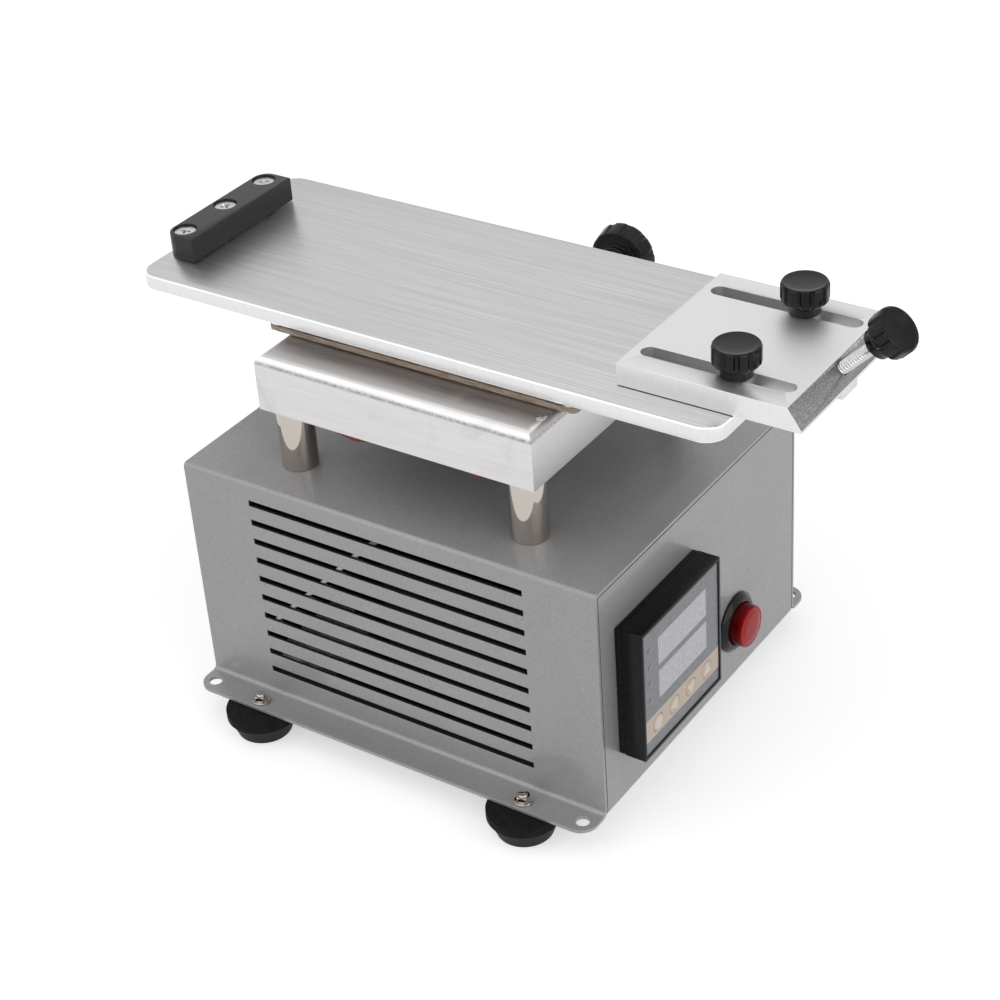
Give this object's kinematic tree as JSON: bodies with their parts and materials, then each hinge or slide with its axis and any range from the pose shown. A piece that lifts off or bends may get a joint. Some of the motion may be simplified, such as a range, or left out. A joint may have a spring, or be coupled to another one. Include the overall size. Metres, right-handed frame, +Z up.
{
  "type": "lcd separator machine",
  "caption": "Bench heater for separating phone screens: turning heated plate with a stop block and a sliding clamp, on a vented case with a temperature controller.",
  "frame": {"origin": "centre of the bounding box in plan, at the level of the feet's undersides", "axes": "+X along the heated plate towards the clamp, +Z up, -Y the side with the four keys' controller towards the viewer"},
  "size_m": [0.254, 0.1636, 0.173],
  "materials": {
    "case_paint": "silver-grey metallic paint on folded steel sheet, semi-gloss",
    "rubber": "matte black rubber",
    "nickel": "bright nickel plate on steel",
    "zinc": "zinc-plated steel",
    "black_plastic": "black moulded plastic, semi-gloss",
    "face_plastic": "printed grey-blue front film",
    "window_plastic": "unlit grey display window",
    "key_plastic": "tan rubber keys",
    "red_plastic": "translucent red plastic",
    "white_plastic": "off-white plastic",
    "pale_silicone": "pale silicone sleeve",
    "red_silicone": "dark red silicone rubber",
    "satin_steel": "satin stainless steel, slightly stained",
    "brass": "turned brass",
    "brushed_aluminium": "aluminium brushed along its length",
    "blasted_aluminium": "bead-blasted aluminium",
    "felt": "white fibre insulation pad",
    "mica": "brown layered mica board",
    "black_anodised": "black anodised aluminium"
  },
  "bodies": {
    "case": {"brake_collar": "brushed_aluminium", "button_body": "black_plastic", "button_nut": "black_plastic", "case_cover": "case_paint", "chassis": "case_paint", "controller_clip": "black_plastic", "controller_face": "face_plastic", "controller_housing": "black_plastic", "display_lower": "window_plastic", "display_upper": "window_plastic", "foot_1": "rubber", "foot_2": "rubber", "foot_3": "rubber", "foot_4": "rubber", "foot_screw_1": "nickel", "foot_screw_2": "nickel", "foot_screw_3": "nickel", "foot_screw_4": "nickel", "heater_box": "satin_steel", "heater_lead": "red_silicone", "inlet_screw_1": "nickel", "inlet_screw_2": "nickel", "inner_lead": "pale_silicone", "lead_grommet": "rubber", "mains_inlet": "black_plastic", "post_1": "nickel", "post_2": "nickel", "post_3": "nickel", "post_4": "nickel", "relay": "white_plastic", "supply_lead": "pale_silicone", "terminal_block": "white_plastic", "thrust_washer": "brass"},
    "turntable": {"heating_plate": "brushed_aluminium", "pivot_hub": "satin_steel", "hub_nut": "satin_steel", "heater_mat": "red_silicone", "mat_lead": "red_silicone", "insulation_pad": "felt", "insulation_board": "mica", "board_screw_1": "zinc", "board_screw_2": "zinc", "board_screw_3": "zinc", "board_screw_4": "zinc", "stop_block": "black_anodised", "stop_screw_1": "zinc", "stop_screw_2": "zinc", "stop_screw_3": "zinc"},
    "clamp": {"clamp_plate": "blasted_aluminium"},
    "lock_front": {"lock_knob_front": "black_plastic"},
    "lock_back": {"lock_knob_back": "black_plastic"},
    "end_grip": {"end_knob": "black_plastic", "end_screw": "zinc"},
    "brake": {"brake_knob": "black_plastic", "brake_screw": "zinc"},
    "start": {"start_button": "red_plastic"},
    "key_set": {"key_1": "key_plastic"},
    "key_left": {"key_2": "key_plastic"},
    "key_down": {"key_3": "key_plastic"},
    "key_up": {"key_4": "key_plastic"}
  },
  "joints": [
    {"name": "plate_turn", "type": "hinge", "parent": "case", "child": "turntable", "pos_m": [-0.0203, 0, 0.141], "axis": [0, 0, 1], "continuous": true},
    {"name": "clamp_slide", "type": "slide", "parent": "turntable", "child": "clamp", "axis": [1, 0, 0], "range_m": [-0.0105, 0.028]},
    {"name": "lock_turn_front", "type": "hinge", "parent": "turntable", "child": "lock_front", "pos_m": [0.0822, -0.0208, 0.1538], "axis": [0, 0, 1], "range_deg": [0, 360]},
    {"name": "lock_turn_back", "type": "hinge", "parent": "turntable", "child": "lock_back", "pos_m": [0.0822, 0.0208, 0.1538], "axis": [0, 0, 1], "range_deg": [0, 360]},
    {"name": "end_turn", "type": "hinge", "parent": "clamp", "child": "end_grip", "pos_m": [0.1153, 0, 0.1613], "axis": [0.7071, 0, 0.7071], "range_deg": [-360, 360]},
    {"name": "brake_turn", "type": "hinge", "parent": "case", "child": "brake", "pos_m": [-0.0125, 0.0669, 0.126], "axis": [0, 1, 0], "range_deg": [0, 360]},
    {"name": "start_press", "type": "slide", "parent": "case", "child": "start", "axis": [-1, 0, 0], "range_m": [0, 0.0025], "stiffness_N_per_m": 700, "springref_m": -0.0015},
    {"name": "key_set_press", "type": "slide", "parent": "case", "child": "key_set", "axis": [-1, 0, 0], "range_m": [0, 0.0004], "stiffness_N_per_m": 2000, "springref_m": -0.0003},
    {"name": "key_left_press", "type": "slide", "parent": "case", "child": "key_left", "axis": [-1, 0, 0], "range_m": [0, 0.0004], "stiffness_N_per_m": 2000, "springref_m": -0.0003},
    {"name": "key_down_press", "type": "slide", "parent": "case", "child": "key_down", "axis": [-1, 0, 0], "range_m": [0, 0.0004], "stiffness_N_per_m": 2000, "springref_m": -0.0003},
    {"name": "key_up_press", "type": "slide", "parent": "case", "child": "key_up", "axis": [-1, 0, 0], "range_m": [0, 0.0004], "stiffness_N_per_m": 2000, "springref_m": -0.0003}
  ]
}
